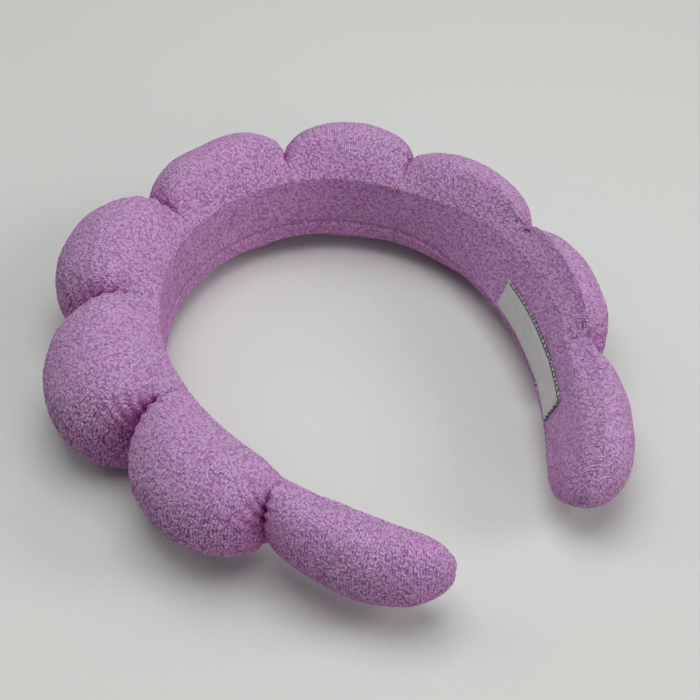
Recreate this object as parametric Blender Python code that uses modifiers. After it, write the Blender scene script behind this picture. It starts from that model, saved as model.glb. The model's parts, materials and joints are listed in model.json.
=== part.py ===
"""Puffed terry spa headband, lying flat on a table.  Metres, +Z up.

A springy plastic hoop in the shape of a U is padded with nine foam puffs and a
thin inner pad, and all of it sits in one sewn terry sleeve.  The sleeve is
gathered at eight places, so it reads as nine lobes.

Everything is laid out in millimetres along the hoop line: the line of the
sleeve's flat inner face.  s is the distance along that line from the crown
(left arm, -X, negative; right arm, +X, positive), n is the distance outward
from the inner face, and h is the height above the middle of the inner face.
Lobes are numbered from the left tip, starting at 0.

Origin: on the table, at the centre of the headband's footprint, which lies in
the head opening.  +Y points to the crown, and the U opens towards -Y.
"""
import math

import bmesh
import bpy
import numpy as np
from mathutils import Vector

MM = 0.001

# ---- hoop line ----------------------------------------------------------------
ARM = 190.8                     # reach of the curved part, each side of the crown
# curvature in 1/mm: CURV_CROWN + CURV_2 u^2 + CURV_4 u^4, with u = |s| / ARM
CURV_CROWN, CURV_2, CURV_4 = 0.01915, -0.03585, 0.02519
LINE_STEP = 0.5
LINE_EXTRA = 20.0               # straight run past each end of the curve
CROWN_Y = 75.0                  # inner face at the crown
INNER_FACE_H = 25.4             # height of the flat inner face
INNER_MID_Z = 21.7              # middle of the inner face above the table
ORIGIN_X, ORIGIN_Y = -5.73, 11.53  # footprint's centre, in the hoop line's own frame
# the right arm's inner face tips back over LEAN_OVER, starting at LEAN_FROM
LEAN_FROM, LEAN_OVER = 50.0, 55.0
LEAN_SET, LEAN_SLOPE = 1.39, 0.404  # outward shift at h = 0, and its growth with h
LEAN_LOWEST_H = -9.0            # the shift stays constant below this
LEAN_START_N, LEAN_REACH = 2.0, 30.0    # the lean fades out over this range of n

# ---- lobes and gathers, left to right -----------------------------------------
GATHERS = (-139.5, -96.0, -57.5, -23.2, 16.0, 52.3, 93.6, 137.2)
TIP_LEFT, TIP_RIGHT = -195.0, 187.0
EDGES = (TIP_LEFT,) + GATHERS + (TIP_RIGHT,)
LAST_LOBE = len(GATHERS)
LOBE_DEPTH = (18.5, 30.0, 38.5, 38.5, 30.5, 29.0, 26.0, 26.0, 23.2)
LOBE_HALF_H = (13.0, 18.6, 22.4, 24.0, 24.0, 22.8, 22.6, 21.2, 14.6)
NECK_DEPTH = (9.8, 11.5, 11.5, 11.5, 11.5, 11.5, 10.3, 10.2)
NECK_HALF_H = (12.4, 14.8, 15.0, 15.0, 15.0, 15.0, 14.8, 13.0)
# a lobe swells as (1 - |t|^LOBE_POWER)^exponent, with t from -1 to 1 along it
LOBE_POWER = 2.3
LOBE_EXPONENT = 1.0 / 2.2
FACE_EXPONENT = 1.5             # used for the height of the inner face
TIP_TAPER_N, TIP_TAPER_H, TIP_TAPER_POWER = 0.22, 0.18, 1.8
TIP_ROUND, TIP_ROUND_POWER = 13.0, 2.2
TIP_INWARD = (3.4, 0.0)         # left and right tip: the end turns in by this much

# ---- sleeve -------------------------------------------------------------------
TERRY_T = 1.8                   # sleeve fabric with its pile
WIDEST_N, WIDEST_N_TIP = 0.4, 0.5   # share of depth where a section is tallest
FOLD_ANGLE = math.radians(132.0)    # where the section turns into the inner face
OUTER_POWER, FOLD_POWER = 0.95, 1.7
FACE_TO_LOBE = 0.85             # the inner face is at most this share of the lobe's height
OUTLINE_COUNT, SOFTEN_PASSES = 360, 10
RING_COUNT = 26                 # points round each sleeve section
FACE_STOPS = (0.0, 0.3, 0.62, 0.93, 1.0)    # points up the inner face, as shares
FOLD_CLEAR = 2.6                # gap from each fold to the next point
SEAM_LOW, SEAM_GAP = 4.8, 1.6   # closing seam, above the inner face's lower edge
SEAM_DROP, SEAM_DROP_FROM, SEAM_DROP_OVER = 3.2, 45.0, 55.0  # it runs lower on the arms
SEAM_END = 20.0                 # the seam stops this far from each tip
# section places along a lobe, -1 to 1
LOBE_STATIONS = (-0.97, -0.8, -0.42, 0.0, 0.42, 0.8, 0.97)
LEFT_TIP_STATIONS = (-0.99, -0.93, -0.78, -0.5, -0.1, 0.3, 0.65, 0.88, 0.975)
RIGHT_TIP_STATIONS = tuple(-t for t in reversed(LEFT_TIP_STATIONS))
JUST_BEFORE = 1e-6              # keeps a gather's section within the lobe on its left

# ---- hoop, inner pad and foam -------------------------------------------------
HOOP_T, HOOP_H, HOOP_N, HOOP_END, HOOP_ROUND = 1.4, 18.0, 4.6, 12.0, 7.0
HOOP_TAPER, TAPER_FROM, TAPER_OVER = 3.2, 95.0, 60.0    # per edge, towards the tips
PAD_T, PAD_N, PAD_END, PAD_ROUND = 1.0, 2.2, 14.0, 5.0
PAD_OVERHANG = 0.5              # past each edge of the hoop
HOOP_STATIONS, PAD_STATIONS, LABEL_STATIONS = 65, 61, 18
STRIP_ROWS = (0.0, 0.34, 0.67, 1.0)
STRIP_END_SHARE = 0.35          # least share of a strip's height at a rounded end
FOAM_N = 7.4                    # the foam's flat side, facing the hoop
FOAM_INSET, FOAM_END_GAP, FOAM_TIP_GAP = 3.3, 3.6, 7.0
FOAM_NECK_DEPTH, FOAM_NECK_HALF_H = 9.2, 9.0
FOAM_STATIONS = (-1.0, -0.94, -0.8, -0.5, 0.0, 0.5, 0.8, 0.94, 1.0)
FOAM_POINTS = 16
FOAM_WIDEST_N = 0.30            # share of the foam's depth where it is tallest
FOAM_FLATTEN, FOAM_SIDE_POWER = 1.45, 0.9
FOAM_CLOSE, FOAM_CLOSE_FROM = 0.72, 0.75    # shrink at a tip, and where it starts
FOAM_CLEAR = 0.5                # between foam and the fabric on the table

# ---- threads and label --------------------------------------------------------
TIE_R, TIE_POINTS = 0.45, 18
TIE_INNER_GAP, TIE_OUTER_GAP, TIE_EDGE_GAP = 0.75, 0.8, 1.05    # hoop to thread centre
TIE_SQUARE_N, TIE_SQUARE_H = 1.6, 1.12      # above 1 flattens the loop's sides
THREAD_R = 0.4
THREAD_MARGIN = 6.0             # the thread stops short of the seam's ends
THREAD_SINK, THREAD_ZIGZAG = 0.9, 0.12
LABEL_S = (101.4, 153.4)
LABEL_H = (-6.9, 2.7)
LABEL_T, LABEL_GAP = 0.5, 0.4
STITCH_R, STITCH_PITCH, STITCH_CLEAR = 0.26, 3.2, 0.3
STITCH_START, STITCH_STOP = 3.0, 3.0        # from the ends of the upper edge
STITCH_DOWN_START, STITCH_DOWN_STOP = 1.5, 1.6  # from the top and bottom of the end
STITCH_FRONT_N = -LABEL_GAP - LABEL_T - STITCH_CLEAR - STITCH_R
STITCH_BACK_N = -STITCH_CLEAR - STITCH_R
STITCH_OVER_N = (STITCH_FRONT_N + STITCH_BACK_N) / 2.0
# one stitch: share of the pitch along the edge, distance past the edge, n
STITCH = (
    (0.0, -1.4, STITCH_FRONT_N),
    (0.35, 0.2, STITCH_FRONT_N),
    (0.5, 1.0, STITCH_OVER_N),
    (0.75, 0.3, STITCH_FRONT_N),
)


# ---- small maths --------------------------------------------------------------
def clamp(x, low, high):
    return min(max(x, low), high)


def mix(start, end, share):
    return start + (end - start) * share


def ease(x):
    """Smooth step from 0 to 1."""
    x = clamp(x, 0.0, 1.0)
    return x * x * (3.0 - 2.0 * x)


def spread(start, end, count):
    """Evenly spaced values, both ends included."""
    return [start + (end - start) * i / (count - 1.0) for i in range(count)]


# ---- the hoop line ------------------------------------------------------------
def integrate_from_crown(values):
    """Trapezoid integral along the hoop line, zero at the crown."""
    steps = (values[1:] + values[:-1]) / 2.0 * LINE_STEP
    total = np.concatenate([[0.0], np.cumsum(steps)])
    return total - total[len(total) // 2]


def hoop_line():
    """Distance, x, y and heading at each step of the hoop line."""
    count = int((ARM + LINE_EXTRA) / LINE_STEP)
    s = np.arange(-count, count + 1) * LINE_STEP
    u = np.clip(np.abs(s) / ARM, 0.0, 1.0)
    curve = CURV_CROWN + CURV_2 * u ** 2 + CURV_4 * u ** 4
    heading = integrate_from_crown(np.where(np.abs(s) > ARM, 0.0, curve))
    x = integrate_from_crown(np.cos(heading))
    y = integrate_from_crown(-np.sin(heading)) + CROWN_Y
    return s, x, y, heading


LINE_S, LINE_X, LINE_Y, LINE_HEADING = hoop_line()


def place(s, n, h):
    """Point at s along the hoop line, n outward and h above mid height.

    Along the right arm everything near the inner face leans back at its top."""
    lean = LEAN_SET + LEAN_SLOPE * clamp(h, LEAN_LOWEST_H, INNER_FACE_H / 2.0)
    fade = 1.0 - ease((n - LEAN_START_N) / LEAN_REACH)
    n += ease((s - LEAN_FROM) / LEAN_OVER) * fade * lean
    x = np.interp(s, LINE_S, LINE_X)
    y = np.interp(s, LINE_S, LINE_Y)
    heading = np.interp(s, LINE_S, LINE_HEADING)
    return Vector((x + math.sin(heading) * n - ORIGIN_X,
                   y + math.cos(heading) * n - ORIGIN_Y,
                   INNER_MID_Z + h))


def on_table(point, clear=0.0):
    """The table flattens whatever would reach below it."""
    return Vector((point.x, point.y, max(point.z, clear)))


# ---- lobe sizes ---------------------------------------------------------------
def tip_share(t, lobe):
    """0 up to the middle of an end lobe, 1 at its tip; 0 on all other lobes."""
    toward = {0: -t, LAST_LOBE: t}.get(lobe, 0.0)
    return clamp(toward, 0.0, 1.0)


def fullness(t, lobe, exponent=LOBE_EXPONENT):
    """0 at a gather and 1 in a lobe's middle; end lobes stay full to the tip."""
    if tip_share(t, lobe) > 0.0:
        return 1.0
    return (1.0 - min(abs(t), 1.0) ** LOBE_POWER) ** exponent


def tip_form(tip, lobe):
    """Depth factor, height factor and n shift towards a tip."""
    taper = tip ** TIP_TAPER_POWER
    shift = -TIP_INWARD[0 if lobe == 0 else 1] * tip ** 2
    return 1.0 - TIP_TAPER_N * taper, 1.0 - TIP_TAPER_H * taper, shift


def lobe_size(s, lobe, exponent=LOBE_EXPONENT):
    """Depth, half height, n shift and end-rounding factor of a lobe at s."""
    left, right = EDGES[lobe], EDGES[lobe + 1]
    t = (s - (left + right) / 2.0) / ((right - left) / 2.0)
    full = fullness(t, lobe, exponent)
    neck = clamp(lobe - 1 if t < 0 else lobe, 0, len(GATHERS) - 1)
    depth_factor, height_factor, shift = tip_form(tip_share(t, lobe), lobe)
    depth = mix(NECK_DEPTH[neck], LOBE_DEPTH[lobe], full) * depth_factor
    half = mix(NECK_HALF_H[neck], LOBE_HALF_H[lobe], full) * height_factor
    into_end = 0.0
    if lobe == 0:
        into_end = (TIP_LEFT + TIP_ROUND - s) / TIP_ROUND
    elif lobe == LAST_LOBE:
        into_end = (s - TIP_RIGHT + TIP_ROUND) / TIP_ROUND
    end = math.sqrt(max(0.0, 1.0 - clamp(into_end, 0.0, 1.0) ** TIP_ROUND_POWER))
    return depth, half, shift, end


def face_half(s, lobe):
    """Half the inner face's height; it narrows smoothly at the small lobes."""
    _, half, _, end = lobe_size(s, lobe, FACE_EXPONENT)
    return min(INNER_FACE_H / 2.0, FACE_TO_LOBE * half) * end


def hoop_half(s):
    return HOOP_H / 2.0 - HOOP_TAPER * ease((abs(s) - TAPER_FROM) / TAPER_OVER)


# ---- sleeve sections ----------------------------------------------------------
def fine_outline(near, widest, far, half, face):
    """Closed (n, h) outline from the middle of the inner face, over the top.

    near, widest and far are n at the inner face, at full height and outermost."""
    outline = []
    for i in range(OUTLINE_COUNT):
        angle = math.pi - i * (2.0 * math.pi / OUTLINE_COUNT)
        turn = abs(angle)
        side = 1.0 if angle >= 0 else -1.0
        if turn <= math.pi / 2.0:
            n = widest + (far - widest) * abs(math.cos(angle)) ** OUTER_POWER
            h = side * half * abs(math.sin(angle)) ** OUTER_POWER
        elif turn <= FOLD_ANGLE:
            share = (turn - math.pi / 2.0) / (FOLD_ANGLE - math.pi / 2.0)
            inward = math.sin(share * math.pi / 2.0)
            n = widest - (widest - near) * inward
            h = side * (face + (half - face) * (1.0 - inward ** FOLD_POWER))
        else:
            n = near
            h = side * face * (1.0 - (turn - FOLD_ANGLE) / (math.pi - FOLD_ANGLE))
        outline.append((n, h))
    points = np.array(outline)
    # soften the two folds beside the inner face
    for _ in range(SOFTEN_PASSES):
        points = (np.roll(points, 1, 0) + 2.0 * points + np.roll(points, -1, 0)) / 4.0
    return points


def sleeve_section(s, lobe):
    """Sleeve outline at s, from the seam's upper lip over the top to its lower lip."""
    depth, half, shift, end = lobe_size(s, lobe)
    widest_share = WIDEST_N_TIP if lobe in (0, LAST_LOBE) else WIDEST_N
    face = face_half(s, lobe)
    centre = depth * 0.5
    near = centre - centre * end + shift
    far = centre + (depth - centre) * end + shift
    widest = centre + (widest_share * depth - centre) * end + shift
    points = fine_outline(near, widest, far, half * end, face)

    # start at the seam: the inner face, just above its lower fold
    drop = SEAM_DROP * ease((abs(s) - SEAM_DROP_FROM) / SEAM_DROP_OVER)
    gap = SEAM_GAP * end
    low_lip = (SEAM_LOW - drop) * end
    high_lip = low_lip + gap
    start_h = -face + high_lip
    candidates = [i for i in range(OUTLINE_COUNT // 2, OUTLINE_COUNT)
                  if points[i][1] > -face - 5 and points[i][0] < near + 0.25 * widest + 0.4]
    start = min(candidates, key=lambda i: abs(points[i][1] - start_h))
    ring = np.roll(points, -start, 0)
    closed = np.vstack([ring, ring[:1]])
    lengths = np.linalg.norm(np.diff(closed, axis=0), axis=1)
    run = np.concatenate([[0.0], np.cumsum(lengths)])

    # points sit closer together at the two folds, where the outline turns sharply
    total = run[-1] - gap
    rise = 2.0 * face - high_lip
    stops = [rise * share for share in FACE_STOPS]
    stops += spread(rise + FOLD_CLEAR * end, total - low_lip - FOLD_CLEAR * end,
                    RING_COUNT - len(FACE_STOPS) - 2)
    stops += [total - low_lip, total]
    return [(float(np.interp(stop, run, closed[:, 0])),
             float(np.interp(stop, run, closed[:, 1]))) for stop in stops]


def sleeve_sections():
    """The sleeve's cross sections from tip to tip, as (s, outline) pairs."""
    tip_stations = {0: LEFT_TIP_STATIONS, LAST_LOBE: RIGHT_TIP_STATIONS}
    stations = []
    for lobe, (left, right) in enumerate(zip(EDGES[:-1], EDGES[1:])):
        middle, half_length = (left + right) / 2.0, (right - left) / 2.0
        for t in tip_stations.get(lobe, LOBE_STATIONS):
            stations.append((middle + half_length * t, lobe))
        if lobe < LAST_LOBE:
            stations.append((right - JUST_BEFORE, lobe))
    return [(s, sleeve_section(s, lobe)) for s, lobe in stations]


# ---- scene and object helpers -------------------------------------------------
def new_scene_collection(name):
    """Empty the scene and add one collection for the pieces."""
    for ob in list(bpy.data.objects):
        bpy.data.objects.remove(ob, do_unlink=True)
    collection = bpy.data.collections.new(name)
    bpy.context.scene.collection.children.link(collection)
    return collection


PARTS = new_scene_collection("spa_headband")


def material(name, rgb, roughness):
    mat = bpy.data.materials.new(name)
    mat.use_nodes = True
    bsdf = mat.node_tree.nodes["Principled BSDF"]
    bsdf.inputs["Base Color"].default_value = (*rgb, 1.0)
    bsdf.inputs["Roughness"].default_value = roughness
    mat.diffuse_color = (*rgb, 1.0)
    return mat


def add_object(name, data, mat):
    data.materials.append(mat)
    ob = bpy.data.objects.new(name, data)
    PARTS.objects.link(ob)
    return ob


def add_mesh(name, bm, mat, smooth=True):
    bmesh.ops.recalc_face_normals(bm, faces=bm.faces)
    mesh = bpy.data.meshes.new(name)
    bm.to_mesh(mesh)
    bm.free()
    if smooth:
        mesh.shade_smooth()
        mesh.set_sharp_from_angle(angle=math.radians(50))
    return add_object(name, mesh, mat)


def loft(name, rings, mat, smooth=True):
    """Closed solid through rings of equal size, capped at both ends."""
    bm = bmesh.new()
    rows = [[bm.verts.new(point * MM) for point in ring] for ring in rings]
    count = len(rows[0])
    for row, following in zip(rows[:-1], rows[1:]):
        for i in range(count):
            j = (i + 1) % count
            bm.faces.new((row[i], row[j], following[j], following[i]))
    bm.faces.new(rows[0])
    bm.faces.new(list(reversed(rows[-1])))
    add_mesh(name, bm, mat, smooth)


def strip(name, s_range, n_range, heights, mat, stations, round_end=0.0):
    """Flat strip that follows the hoop line, with rounded ends if asked.

    heights(s) gives its lower and upper edge."""
    s_start, s_end = s_range
    rings = []
    for s in spread(s_start, s_end, stations):
        edge = min(s - s_start, s_end - s)
        shrink = 1.0
        if edge < round_end:
            shrink = math.sqrt(max(0.0, 1.0 - ((round_end - edge) / round_end) ** 2))
            shrink = max(shrink, STRIP_END_SHARE)
        low, high = heights(s)
        middle = (low + high) / 2.0
        bottom = middle + (low - middle) * shrink
        rows = [bottom + (high - low) * shrink * share for share in STRIP_ROWS]
        rings.append([place(s, n_range[0], h) for h in rows]
                     + [place(s, n_range[1], h) for h in reversed(rows)])
    loft(name, rings, mat, smooth=False)


def thread(name, points, radius, mat, cyclic=False, bevel_resolution=1):
    """Thread through the points, with filled ends."""
    curve = bpy.data.curves.new(name, "CURVE")
    curve.dimensions = "3D"
    curve.bevel_depth = radius * MM
    curve.bevel_resolution = bevel_resolution
    curve.use_fill_caps = True
    spline = curve.splines.new("POLY")
    spline.points.add(len(points) - 1)
    for spline_point, point in zip(spline.points, points):
        spline_point.co = (*(point * MM), 1.0)
    spline.use_cyclic_u = cyclic
    add_object(name, curve, mat)


# ---- the pieces ---------------------------------------------------------------
def terry_cover(sections, mat):
    """Sleeve surface, parted along the closing seam, thickened to fabric."""
    bm = bmesh.new()
    rows = [[bm.verts.new(on_table(place(s, n, h)) * MM) for n, h in outline]
            for s, outline in sections]
    stations = [s for s, _ in sections]
    for s, row, next_s, following in zip(stations[:-1], rows[:-1], stations[1:], rows[1:]):
        for i in range(RING_COUNT - 1):
            bm.faces.new((row[i], row[i + 1], following[i + 1], following[i]))
        # beyond the seam's ends the sleeve is closed all round
        if next_s < TIP_LEFT + SEAM_END or s > TIP_RIGHT - SEAM_END:
            bm.faces.new((row[-1], row[0], following[0], following[-1]))
    for row, s, lobe in ((rows[0], TIP_LEFT, 0), (rows[-1], TIP_RIGHT, LAST_LOBE)):
        depth, _, shift, _ = lobe_size(s, lobe)
        pole = bm.verts.new(place(s, depth / 2.0 + shift, 0.0) * MM)
        for i in range(RING_COUNT):
            bm.faces.new((row[i], row[(i + 1) % RING_COUNT], pole))
    shell = add_mesh("terry_cover", bm, mat).modifiers.new("fabric", "SOLIDIFY")
    shell.thickness = TERRY_T * MM
    shell.offset = -1.0
    shell.use_even_offset = False


def foam_ring(s, depth, half):
    """Section of a puff: flat towards the hoop, domed outward."""
    widest = mix(FOAM_N, depth, FOAM_WIDEST_N)
    ring = []
    for i in range(FOAM_POINTS):
        angle = 2.0 * math.pi * i / FOAM_POINTS
        out, up = math.cos(angle), math.sin(angle)
        if out >= 0:
            n = widest + (depth - widest) * out
        else:
            n = widest - (widest - FOAM_N) * min(1.0, abs(out) * FOAM_FLATTEN)
        h = half * math.copysign(abs(up) ** FOAM_SIDE_POWER, up)
        ring.append(on_table(place(s, n, h), TERRY_T + FOAM_CLEAR))
    return ring


def foam_puff(lobe, mat):
    """One puff, closed by small end faces."""
    first = EDGES[lobe] + (FOAM_END_GAP if lobe > 0 else FOAM_TIP_GAP)
    last = EDGES[lobe + 1] - (FOAM_END_GAP if lobe < LAST_LOBE else FOAM_TIP_GAP)
    rings = []
    for t in FOAM_STATIONS:
        s = (first + last) / 2.0 + (last - first) / 2.0 * t
        tip = tip_share(t, lobe)
        full = fullness(t, lobe)
        depth_factor, height_factor, shift = tip_form(tip, lobe)
        close = 1.0 - FOAM_CLOSE * max(0.0, tip - FOAM_CLOSE_FROM) / (1.0 - FOAM_CLOSE_FROM)
        depth = mix(FOAM_NECK_DEPTH, LOBE_DEPTH[lobe] - FOAM_INSET, full)
        half = mix(FOAM_NECK_HALF_H, LOBE_HALF_H[lobe] - FOAM_INSET, full)
        depth = mix(FOAM_N, depth * depth_factor + shift, close)
        rings.append(foam_ring(s, depth, half * height_factor * close))
    loft(f"foam_puff_{lobe + 1}", rings, mat)


def hoop_core(mat):
    strip("hoop_core", (TIP_LEFT + HOOP_END, TIP_RIGHT - HOOP_END),
          (HOOP_N, HOOP_N + HOOP_T), lambda s: (-hoop_half(s), hoop_half(s)),
          mat, HOOP_STATIONS, HOOP_ROUND)


def inner_pad(mat):
    """Thin pad between the hoop and the sleeve's inner face."""
    strip("inner_pad", (TIP_LEFT + PAD_END, TIP_RIGHT - PAD_END), (PAD_N, PAD_N + PAD_T),
          lambda s: (-hoop_half(s) - PAD_OVERHANG, hoop_half(s) + PAD_OVERHANG),
          mat, PAD_STATIONS, PAD_ROUND)


def gather_tie(index, mat):
    """Thread loop round the hoop at a gather, inside the sleeve's neck."""
    s = GATHERS[index]
    inner, outer = HOOP_N - TIE_INNER_GAP, HOOP_N + HOOP_T + TIE_OUTER_GAP
    half = hoop_half(s) + TIE_EDGE_GAP
    points = []
    for i in range(TIE_POINTS):
        angle = 2.0 * math.pi * i / TIE_POINTS
        out = clamp(TIE_SQUARE_N * math.cos(angle), -1.0, 1.0)
        up = clamp(TIE_SQUARE_H * math.sin(angle), -1.0, 1.0)
        points.append(place(s, (inner + outer) / 2.0 + (outer - inner) / 2.0 * out, half * up))
    thread(f"gather_tie_{index + 1}", points, TIE_R, mat, cyclic=True)


def closing_seam_thread(sections, mat):
    """One thread lying in the seam, with the slight zigzag of ladder stitches."""
    margin = SEAM_END + THREAD_MARGIN
    points = []
    for i, (s, outline) in enumerate(sections):
        if TIP_LEFT + margin < s < TIP_RIGHT - margin:
            upper, lower = place(s, *outline[0]), place(s, *outline[-1])
            along = place(s + 1.0, *outline[0]) - upper
            into = (upper - lower).cross(along).normalized()
            sink = THREAD_SINK + THREAD_ZIGZAG * (-1) ** i
            points.append((upper + lower) / 2.0 + into * sink)
    thread("closing_seam_thread", points, THREAD_R, mat)


def label(mat):
    """Soft woven patch on the right arm's inner face."""
    strip("label", LABEL_S, (-LABEL_GAP - LABEL_T, -LABEL_GAP), lambda s: LABEL_H,
          mat, LABEL_STATIONS)


def label_stitching(mat):
    """One thread whipped along the label's upper edge and down its tip-side end."""
    (start, end), (bottom, top) = LABEL_S, LABEL_H
    points = []
    for s in np.arange(start + STITCH_START, end - STITCH_STOP, STITCH_PITCH):
        points += [place(s + STITCH_PITCH * along, n, top + past) for along, past, n in STITCH]
    for h in np.arange(top - STITCH_DOWN_START, bottom + STITCH_DOWN_STOP, -STITCH_PITCH):
        points += [place(end + past, n, h - STITCH_PITCH * along) for along, past, n in STITCH]
    thread("label_stitching", points, STITCH_R, mat, bevel_resolution=0)


# ---- assembly -----------------------------------------------------------------
cover_sections = sleeve_sections()
terry_cover(cover_sections, material("lilac_terry", rgb=(0.50, 0.29, 0.52), roughness=0.95))
for k in range(LAST_LOBE + 1):
    foam_puff(k, material(f"white_foam_{k + 1}", rgb=(0.86, 0.84, 0.78), roughness=0.9))
hoop_core(material("white_plastic", rgb=(0.82, 0.82, 0.80), roughness=0.4))
inner_pad(material("pad_foam", rgb=(0.84, 0.82, 0.74), roughness=0.9))
for k in range(len(GATHERS)):
    gather_tie(k, material(f"lilac_thread_{k + 1}", rgb=(0.42, 0.24, 0.44), roughness=0.7))
closing_seam_thread(cover_sections,
                    material("seam_thread", rgb=(0.45, 0.26, 0.47), roughness=0.7))
label(material("satin_label", rgb=(0.62, 0.62, 0.60), roughness=0.45))
label_stitching(material("black_thread", rgb=(0.02, 0.02, 0.02), roughness=0.6))
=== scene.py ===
import json
import math
import time

import bpy
import numpy as np
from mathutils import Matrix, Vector
from mathutils.bvhtree import BVHTree


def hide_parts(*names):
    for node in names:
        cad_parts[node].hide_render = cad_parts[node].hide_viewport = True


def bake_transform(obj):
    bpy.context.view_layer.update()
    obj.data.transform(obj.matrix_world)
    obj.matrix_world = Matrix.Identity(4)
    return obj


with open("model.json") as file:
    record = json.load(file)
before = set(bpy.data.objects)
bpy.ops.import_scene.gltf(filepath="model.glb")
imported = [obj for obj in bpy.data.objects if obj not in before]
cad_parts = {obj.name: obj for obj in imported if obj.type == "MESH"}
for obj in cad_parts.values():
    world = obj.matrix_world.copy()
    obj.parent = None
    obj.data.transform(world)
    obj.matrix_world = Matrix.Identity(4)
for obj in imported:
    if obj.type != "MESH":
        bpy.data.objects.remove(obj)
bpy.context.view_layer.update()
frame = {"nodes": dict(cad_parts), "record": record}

T0 = time.time()
MM = 0.001

# ---- hoop line, in millimetres, as in the frame -------------------------------
ARM = 190.8
CURV_CROWN, CURV_2, CURV_4 = 0.01915, -0.03585, 0.02519
CROWN_Y = 75.0
OX, OY = -5.73, 11.53           # the frame's origin, measured from the crown's line
FACE_H = 25.4
MID_Z = 21.7
GATHERS = np.array([-139.5, -96.0, -57.5, -23.2, 16.0, 52.3, 93.6, 137.2])
TIP_L, TIP_R = -195.0, 187.0
EDGES = np.concatenate([[TIP_L], GATHERS, [TIP_R]])
DEPTH = np.array([18.0, 29.8, 38.4, 38.5, 30.2, 28.8, 25.6, 25.8, 23.2])
HALF = np.array([12.8, 18.4, 22.3, 24.0, 24.0, 22.6, 22.4, 21.0, 14.4])
NECK_D = np.array([9.0, 11.0, 11.5, 11.5, 11.5, 11.0, 8.6, 8.0])
NECK_H = np.array([11.0, 14.5, 15.0, 15.0, 15.0, 15.0, 14.5, 12.5])
POWER, ROOT = 2.3, 2.25
TAPER_D, TAPER_H, TIP_ROUND = 0.22, 0.18, 13.0
TIP_IN = (3.4, 0.0)

HINGE = {j["child"]: j for j in frame["record"]["behaviour"]["joints"]}


def hoop_line(step=0.25):
    count = int((ARM + 20.0) / step)
    s = np.arange(-count, count + 1) * step
    u = np.clip(np.abs(s) / ARM, 0.0, 1.0)
    k = np.where(np.abs(s) > ARM, 0.0, CURV_CROWN + CURV_2 * u ** 2 + CURV_4 * u ** 4)
    t = np.concatenate([[0.0], np.cumsum((k[1:] + k[:-1]) / 2.0 * step)])
    t -= t[count]
    dx, dy = np.cos(t), -np.sin(t)
    x = np.concatenate([[0.0], np.cumsum((dx[1:] + dx[:-1]) / 2.0 * step)])
    y = np.concatenate([[0.0], np.cumsum((dy[1:] + dy[:-1]) / 2.0 * step)])
    return s, x - x[count], y - y[count] + CROWN_Y, t


LINE = hoop_line()


def smooth(x):
    x = np.clip(x, 0.0, 1.0)
    return x * x * (3 - 2 * x)


def place(s, n, h):
    """Points in mm, shape (..., 3).  The right arm's inner face leans outward at its top."""
    s_, x_, y_, t_ = LINE
    s, n, h = np.asarray(s, float), np.asarray(n, float), np.asarray(h, float)
    lean = (1.39 + 0.404 * np.clip(h, -9.0, 12.7)
            + 3.0 * np.clip((-8.0 - h) / 4.7, 0, 1) ** 2)
    n = n + smooth((s - 50.0) / 55.0) * (1 - smooth((n - 3.0) / 13.0)) * lean
    x, y, t = np.interp(s, s_, x_), np.interp(s, s_, y_), np.interp(s, s_, t_)
    return np.stack(np.broadcast_arrays(x + np.sin(t) * n - OX, y + np.cos(t) * n - OY, MID_Z + h), -1)


# ---- noise --------------------------------------------------------------------
def hash01(seed, *idx):
    v = np.full(np.broadcast(*idx).shape, seed * 374761393 + 668265263, np.uint64)
    for i, a in enumerate(idx):
        v ^= (a.astype(np.int64) + 1013904223 * (i + 1)).astype(np.uint64) * np.uint64(2654435761)
        v = (v ^ (v >> np.uint64(15))) * np.uint64(2246822519)
        v ^= v >> np.uint64(13)
        v &= np.uint64(0xFFFFFFFF)
    v = (v * np.uint64(3266489917)) & np.uint64(0xFFFFFFFF)
    v ^= v >> np.uint64(16)
    return v.astype(np.float64) / 4294967295.0


def vnoise(p, scale, seed):
    """Smooth 3-D value noise from -1 to 1, features of about `scale` mm."""
    q = p / scale
    i = np.floor(q)
    f = q - i
    f = f * f * f * (f * (f * 6 - 15) + 10)
    i = i.astype(np.int64)
    out = 0.0
    for a in (0, 1):
        wx = f[..., 0] if a else 1 - f[..., 0]
        for b in (0, 1):
            wy = f[..., 1] if b else 1 - f[..., 1]
            for c in (0, 1):
                wz = f[..., 2] if c else 1 - f[..., 2]
                out = out + wx * wy * wz * hash01(seed, i[..., 0] + a, i[..., 1] + b, i[..., 2] + c)
    return out * 2.0 - 1.0


def loops_3d(p, cell, seed):
    """Terry loops as round tufts scattered in space: 0 in the gaps to 1 on top, and a tone."""
    q = p / cell
    base = np.floor(q - 0.5).astype(np.int64)
    best = np.full(q.shape[:-1], 9.0)
    tone = np.zeros(q.shape[:-1])
    for a in (0, 1):
        for b in (0, 1):
            for c in (0, 1):
                i, j, k = base[..., 0] + a, base[..., 1] + b, base[..., 2] + c
                r1, r2 = hash01(seed, i, j, k), hash01(seed + 1, i, j, k)
                r3 = hash01(seed + 2, i, j, k)
                d = np.sqrt((q[..., 0] - i - 0.5 - (r1 - 0.5) * 0.8) ** 2
                            + (q[..., 1] - j - 0.5 - (r2 - 0.5) * 0.8) ** 2
                            + (q[..., 2] - k - 0.5 - (r3 - 0.5) * 0.8) ** 2) * (0.85 + 0.3 * r1)
                tone = np.where(d < best, r2, tone)
                best = np.minimum(best, d)
    return np.sqrt(np.clip(1.0 - (best / 0.72) ** 2, 0.0, 1.0)), tone


# ---- the sleeve's smooth form ---------------------------------------------------
ANGLES = np.linspace(np.pi, -np.pi, 721)[:-1]


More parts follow.
